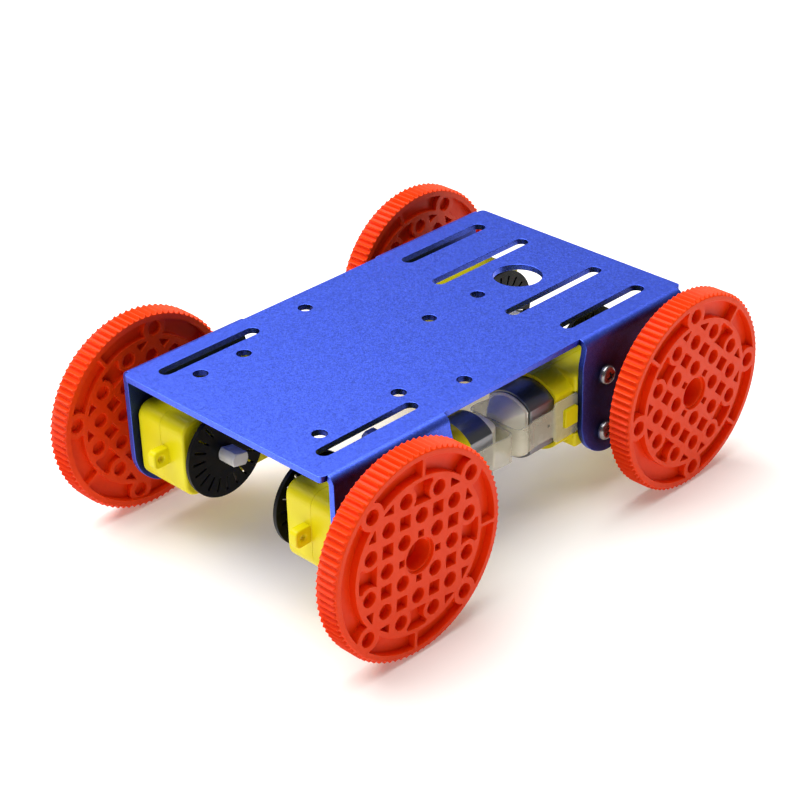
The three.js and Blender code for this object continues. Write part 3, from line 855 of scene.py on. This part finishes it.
def shell_mesh(outer):
    """One half of the gearbox, with its open side at t 0."""
    a0, a1 = BOX_A
    rows = []
    levels = [(0.03, 0.06), (0.1, 0.0), (BOX_HALF - BOX_EDGE, 0.0)]
    for k in range(1, 6):
        turn = math.radians(18 * k)
        levels.append((BOX_HALF - BOX_EDGE + BOX_EDGE * math.sin(turn), BOX_EDGE * (1 - math.cos(turn))))
    for t, inset in levels:
        radii = [r - inset for r in (4, 1.3, 1.3, 4)]
        points = rounded_box(a0 + inset, -BOX_B + inset, a1 - inset, BOX_B - inset, radii)
        rows.append([(x, y, t) for x, y in points])
    bm = bmesh.new()
    skin(bm, rows)
    body = finish_mesh(bm, "shell")
    bm = bmesh.new()
    ends = ((a1 - 2, 0), (SLEEVE_END - 0.35, 0), (SLEEVE_END - 0.1, 0.1), (SLEEVE_END, 0.32))
    skin(bm, [[(a, b, t) for b, t in sleeve_points(inset)] for a, inset in ends])
    sleeve = finish_mesh(bm, "sleeve")
    room = prism_a(can_points(0.15), CAN_A[0] - 0.3, SLEEVE_END + 2)
    hollow = rounded_box(a0 + WALL, WALL - BOX_B, 27, BOX_B - WALL, (2.5, 0.5, 0.5, 2.5))
    tools = [
        prism(hollow, -1, BOX_HALF - WALL),
        room,
        prism(rounded_box(28.5, -6.6, a1 + 2, 6.6, (0.6, 0.1, 0.1, 0.6)), SLEEVE_FLAT, BOX_HALF + 2),
        prism(ring(BORE_R, 32), -1, BOX_HALF + 2),
        prism_a(ring(1.3, 20), 26, 29),
    ]
    tools += [prism(ring(1.8, 24, SCREW_A, side), -1, BOX_HALF + 2) for side in (-SCREW_B, SCREW_B)]
    pieces = [subtract(body, tools), subtract(sleeve, [room])]
    hook = soft_corners(box_outline(HOOK_A[0], -HOOK_B, HOOK_A[1], HOOK_B), 0.35)
    pieces.append(plate_mesh([hook], *HOOK_T, 0.22))
    if outer:
        nub = [(0, 8.4), (2.0, 8.4), (2.0, 10.6), (1.6, 11.0), (0, 11.0)]
        pieces.append(spin_mesh(nub, 24, NUB_A))
    else:
        tab = soft_corners(box_outline(a0 - TAB_LENGTH, -TAB_B, a0 + 0.8, TAB_B), 1.6, 6)
        pieces.append(plate_mesh([tab, ring(TAB_HOLE_R, 24, a0 - TAB_B, 0)], *TAB_T, 0.5, 4))
    mesh = joined(pieces, "shell")
    if not outer:
        mesh.transform(Matrix.Scale(-1, 4, (0, 0, 1)))
        mesh.flip_normals()
    return mesh


def can_mesh():
    """The motor's steel can: a cup, open at the cap, with a hole for the motor's shaft."""
    a0, a1 = CAN_A
    base = can_points(0)
    outside = [(a0, -1.3), (a0 + 0.12, -0.7), (a0 + 0.45, -0.25), (a0 + 1.1, 0)]
    outside += [(a1 - 0.35, 0), (a1 - 0.08, -0.1), (a1, -0.3)]
    inside = [(a1, -CAN_WALL + 0.05), (a1 - 0.1, -CAN_WALL)]
    inside += [(a0 + 1.3, -CAN_WALL), (a0 + 1.0, -CAN_WALL - 0.4)]
    rows = [(a0, round_like(base, CAN_BORE_R))]
    rows += [(a, can_points(grow)) for a, grow in outside + inside]
    rows.append((a0 + 1.0, round_like(base, CAN_BORE_R)))
    bm = bmesh.new()
    tube(bm, [[(a, b, t) for b, t in points] for a, points in rows])
    return finish_mesh(bm, "can")


def cap_mesh():
    """The motor's plastic end cap, with a raised bearing seat behind and a blind bore in front."""
    base = can_points(0)
    front, rear = CAN_A[1] + 0.15, CAP_REAR
    rows = [(51.3, round_like(base, 0.5)), (51.3, round_like(base, 1.3)), (front, round_like(base, 1.3))]
    sides = [(front, -1.2), (front, -0.75), (front + 0.12, -0.65), (front + 0.45, -0.7), (front + 0.6, -1.4)]
    sides += [(front + 1.5, -1.65), (rear - 3.3, -2.2), (rear - 2.2, -2.8), (rear - 1.3, -3.4)]
    sides += [(rear - 0.55, -4.0), (rear - 0.15, -4.5), (rear, -4.8)]
    rows += [(a, can_points(grow)) for a, grow in sides]
    rows += [(rear, round_like(base, 2.65)), (rear + 0.06, round_like(base, 2.5))]
    rows += [(rear + 0.22, round_like(base, 2.35)), (rear + 0.27, round_like(base, 2.1))]
    bm = bmesh.new()
    skin(bm, [[(a, b, t) for b, t in points] for a, points in rows])
    return finish_mesh(bm, "cap")


def smooth_step(value, low, high):
    """0 below low, 1 above high, and a smooth rise between them."""
    f = min(max((value - low) / (high - low), 0), 1)
    return f * f * (3 - 2 * f)


def strap_mesh():
    """The clear strap: cut flat, with a window at each end, and bent round the motor's end."""
    middle = sum(STRAP_T) / 2
    half_thick = (STRAP_T[1] - STRAP_T[0]) / 2
    back = STRAP_REAR - half_thick
    bend = STRAP_BEND_R
    straight = middle - bend
    quarter = math.pi / 2 * bend

    def along(a):
        """Distance along the strap from its middle of a point on the arm."""
        return straight + quarter + (back - bend - a)

    tip = along(STRAP_FRONT)
    arm, wide = STRAP_NARROW, STRAP_WIDE
    end = [
        (along(39.2), arm), (along(38.7), arm + 0.25), (along(38.2), wide - 0.3), (along(37.7), wide),
        *arc(tip - 1.2, wide - 1.2, 1.2, 90, 0, 6),
    ]
    right = end + [(s, -b) for s, b in reversed(end)]
    outline = right + [(-s, -b) for s, b in right]
    loops = [outline]
    for side in (-1, 1):
        window = [(side * along(a), b) for a, b in ((29.75, -2.9), (35.25, -2.9), (35.25, 2.9), (29.75, 2.9))]
        loops.append(soft_corners(window, 0.4))
        loops.append(ring(0.5, 14, side * along(40.4), 0))
    bm = bmesh.new()
    plate(bm, loops, -half_thick, half_thick, 0.14)
    bmesh.ops.remove_doubles(bm, verts=bm.verts, dist=1e-4)
    cuts = [straight + quarter * i / 8 for i in range(9)]
    cuts += [along(a) for a in (49.5, 48.7, 47.9, 47.1, 46.3, 45.5, 39.6, 39.1, 38.6, 38.1, 37.6)]
    for cut in cuts:
        for s in (-cut, cut):
            geometry = bm.verts[:] + bm.edges[:] + bm.faces[:]
            bmesh.ops.bisect_plane(bm, geom=geometry, plane_co=(s, 0, 0), plane_no=(1, 0, 0), dist=1e-5)

    for vert in bm.verts:
        s, b, n = vert.co
        side, s = (1, s) if s >= 0 else (-1, -s)
        if s <= straight:
            vert.co = (back + n, b, side * s)
        elif s <= straight + quarter:
            angle = (s - straight) / bend
            r = bend + n
            vert.co = (back - bend + r * math.cos(angle), b, side * (straight + r * math.sin(angle)))
        else:
            a = back - bend - (s - straight - quarter)
            # The arm dips towards the can's flat between the gearbox and the cap.
            dip = 0.55 * smooth_step(a, 37.6, 39.6) * (1 - smooth_step(a, 45.5, 49.5))
            vert.co = (a, b, side * (middle + n - dip))
    return finish_mesh(bm, "strap", 40)


def gear_outline(teeth, tip, root):
    """A gear's outline with flat tipped teeth."""
    points = []
    pitch = TAU / teeth
    for i in range(teeth):
        for share, r in ((-0.46, root), (-0.27, root), (-0.17, tip), (0.17, tip), (0.27, root)):
            angle = (i + share) * pitch
            points.append((r * math.cos(angle), r * math.sin(angle)))
    return points


def shaft_mesh(turn):
    """The output shaft with the last gear. The flats turn with the wheel, and a tooth points along a."""
    ends = [
        plate_mesh([double_flat(SHAFT_R, SHAFT_FLAT, turn, 12)], SHAFT_IN, -6.2, 0.35, 3),
        plate_mesh([double_flat(SHAFT_R, SHAFT_FLAT, turn, 12)], 6.2, SHAFT_OUT, 0.35, 3),
        spin_mesh([(0, -6.6), (SHAFT_R, -6.6), (SHAFT_R, 6.6), (0, 6.6)], 32),
        plate_mesh([gear_outline(28, 9.5, 8.4)], -4.4, -1.6, 0.06),
    ]
    return joined(ends, "shaft")


def disc_mesh(turn):
    """The encoder disc with its radial slots, and its hub towards the gearbox."""
    bore = double_flat(SHAFT_R + 0.05, SHAFT_FLAT + 0.05, turn, 12)
    loops = [ring(DISC_R, 96), bore]
    for i in range(DISC_SLOTS):
        slot = [(7.3, -0.22), (11.4, -0.32), (11.4, 0.32), (7.3, 0.22)]
        loops.append(turned(soft_corners(slot, 0.2, 3), turn + 360 / DISC_SLOTS * (i + 0.5)))
    hub = [ring(DISC_HUB_R, 48), bore]
    return joined([plate_mesh(loops, *DISC_T, 0.14), plate_mesh(hub, DISC_T[1] - 0.1, DISC_HUB_END)], "disc")


def screw_mesh():
    """A pan head screw with a cross recess and a thread on its free end, along t."""
    seat, head = LEG_OUT + 0.05, SCREW_HEAD_R
    top = seat + SCREW_HEAD
    shoulder = seat + 0.55
    profile = [(0, -12.0), (SCREW_R - 0.1, -12.0), (SCREW_R, -11.5), (SCREW_R, seat)]
    profile += [(head - 0.2, seat), (head, seat + 0.15)]
    for k in range(6):
        angle = math.radians(14 + 76 * k / 6)
        r = head * math.cos(angle) ** 0.55
        profile.append((r, shoulder + (top - shoulder) * math.sin(angle) ** 1.3))
    profile.append((0, top))
    solid = spin_mesh(profile, 40)
    arms = []
    for turn in (20, 110):
        arm = soft_corners(turned(box_outline(-1.5, -0.3, 1.5, 0.3), turn), 0.1)
        arms.append(prism(arm, top - 1.2, top + 1))
    return joined([subtract(solid, arms), thread_mesh()], "screw", 40)


def thread_mesh():
    """The screw's free end: one ridge winding round its core, pointed at the end."""
    rows = []
    pitch, steps = 0.5, 28
    first, last = -13.6, -9.0
    count = int((last - first) / pitch * 6)
    for k in range(count + 1):
        t = first + (last - first) * k / count
        row = []
        for i in range(steps):
            share = (t / pitch - i / steps) % 1
            ridge = 1 - abs(2 * share - 1)
            r = 1.2 + 0.29 * ridge
            r = min(r, 1.05 + (t - first) * 0.9)
            angle = TAU * i / steps
            row.append((r * math.cos(angle), r * math.sin(angle), t))
        rows.append(row)
    bm = bmesh.new()
    skin(bm, rows)
    return finish_mesh(bm, "thread", 60)


def nut_mesh():
    """A hexagon nut with turned corners, against the inner shell."""
    low, high = NUT_T
    half = NUT_ACROSS / 2
    hexagon = ring(half / math.cos(math.pi / 6), 6)
    body = plate_mesh([soft_corners(hexagon, 0.15, 2)], low, high, 0.02)
    turned_off = [(half, low - 0.5), (6, low - 0.5), (6, high + 0.5), (half, high + 0.5)]
    turned_off += [(3.2, high - 0.32), (3.2, low + 0.32)]
    return subtract(body, [spin_mesh(turned_off, 48)])


# ---------------------------------------------------------------- assembly
add("deck_sheet", deck_mesh(), "chassis", MATERIALS["deck"], ["deck"], Matrix.Scale(MM, 4))

WHEEL = wheel_mesh()
OUTER, INNER = shell_mesh(True), shell_mesh(False)
CAN, CAP, STRAP = can_mesh(), cap_mesh(), strap_mesh()
SCREW, NUT = screw_mesh(), nut_mesh()

for corner in CORNERS:
    unit = unit_matrix(corner)
    turn = wheel_turn(corner)
    wheel_body = f"wheel_{corner}"

    def put(name, mesh, body, material, slot, node=None, place=unit, corner=corner):
        nodes = [f"{node}_{corner}"] if node else []
        add(f"{name}_{corner}", mesh, body, MATERIALS[material], nodes, place)

    put("lattice_wheel", WHEEL, wheel_body, "wheel", "wheel_plastic", "wheel",
        unit @ Matrix.Rotation(math.radians(turn), 4, "Z"))
    put("drive_shaft", shaft_mesh(turn), wheel_body, "shaft", "shaft_plastic", "output_shaft")
    put("slotted_disc", disc_mesh(turn), wheel_body, "disc", "disc_plastic", "encoder_disc")
    put("outer_shell", OUTER, "chassis", "gearbox", "gearbox_plastic", "gearbox_outer")
    put("inner_shell", INNER, "chassis", "gearbox", "gearbox_plastic", "gearbox_inner")
    put("steel_can", CAN, "chassis", "can", "can_steel", "motor_can")
    put("end_cap", CAP, "chassis", "cap", "cap_plastic", "motor_cap")
    put("clear_strap", STRAP, "chassis", "strap", "strap_plastic", "strap")
    for where, up in (("upper", 1), ("lower", -1)):
        spot = unit @ Matrix.Translation((SCREW_A, up * upward(corner) * SCREW_B, 0))
        put(f"screw_with_thread_{where}", SCREW, "chassis", "screw", "steel", f"screw_{where}", spot)
        put(f"hex_nut_{where}", NUT, "chassis", "screw", "steel", None, spot)
    # These keep the CAD shape and get a material.
    carried = (("crown_gear", "gear"), ("middle_gear", "gear"), ("rotor", "rotor"), ("gear_pin", "screw"))
    for node, material in carried:
        kept = frame["nodes"][f"{node}_{corner}"].data
        kept.materials.clear()
        kept.materials.append(MATERIALS[material])


# ---------------------------------------------------------------- stage
FLOOR_HALF = 4.0
FLOOR_Z = -0.0002
WORLD_LIGHT = 0.15
KEY_LIGHT = {"place": (-0.12, 0.42, 1.35), "target": (0.08, 0.08, 0), "side": 1.8, "power": 49}
CAMERA_PLACE = (-0.34661, -0.34952, 0.31069)
CAMERA_TURN, CAMERA_DOWN, CAMERA_ROLL = 45.6687, 29.8334, -1.6729  # degrees
CAMERA_LENS, CAMERA_SENSOR = 92.53, 36


def floor():
    outline = box_outline(-FLOOR_HALF, -FLOOR_HALF, FLOOR_HALF, FLOOR_HALF)
    bm = bmesh.new()
    bm.faces.new([bm.verts.new((x, y, FLOOR_Z)) for x, y in outline])
    mesh = bpy.data.meshes.new("floor")
    bm.to_mesh(mesh)
    bm.free()
    material = bpy.data.materials.new("floor")
    material.use_nodes = True
    shader = material.node_tree.nodes["Principled BSDF"]
    shader.inputs["Base Color"].default_value = (0.86, 0.845, 0.82, 1)
    shader.inputs["Roughness"].default_value = 0.8
    shader.inputs["Specular IOR Level"].default_value = 0.1
    shader.inputs["Emission Color"].default_value = (1.0, 0.95, 0.86, 1)
    shader.inputs["Emission Strength"].default_value = 0.2
    mesh.materials.append(material)
    obj = bpy.data.objects.new("floor", mesh)
    bpy.context.collection.objects.link(obj)


def key_light():
    """One large soft square light above."""
    data = bpy.data.lights.new("key", "AREA")
    data.shape = "RECTANGLE"
    data.size = data.size_y = KEY_LIGHT["side"]
    data.energy = KEY_LIGHT["power"]
    obj = bpy.data.objects.new("key", data)
    obj.location = KEY_LIGHT["place"]
    obj.rotation_mode = "QUATERNION"
    obj.rotation_quaternion = (Vector(KEY_LIGHT["target"]) - obj.location).to_track_quat("-Z", "Y")
    bpy.context.collection.objects.link(obj)


def studio():
    """Even white light from all round."""
    world = bpy.data.worlds.new("studio")
    world.use_nodes = True
    background = world.node_tree.nodes["Background"]
    background.inputs["Color"].default_value = (1, 1, 1, 1)
    background.inputs["Strength"].default_value = WORLD_LIGHT
    bpy.context.scene.world = world
    bpy.context.scene.view_settings.view_transform = "Standard"


def camera():
    turn, down, roll = (math.radians(angle) for angle in (CAMERA_TURN, CAMERA_DOWN, CAMERA_ROLL))
    forward = Vector((math.cos(turn) * math.cos(down), math.sin(turn) * math.cos(down), -math.sin(down)))
    level = Vector((math.sin(turn), -math.cos(turn), 0))
    right = level * math.cos(roll) + level.cross(forward) * math.sin(roll)
    up = right.cross(forward)
    data = bpy.data.cameras.new("camera")
    data.sensor_width = CAMERA_SENSOR
    data.lens = CAMERA_LENS
    data.clip_start, data.clip_end = 0.01, 20
    obj = bpy.data.objects.new("camera", data)
    axes = Matrix((right, up, -forward)).transposed().to_4x4()
    obj.matrix_world = Matrix.Translation(CAMERA_PLACE) @ axes
    bpy.context.collection.objects.link(obj)
    bpy.context.scene.camera = obj


floor()
key_light()
studio()
camera()
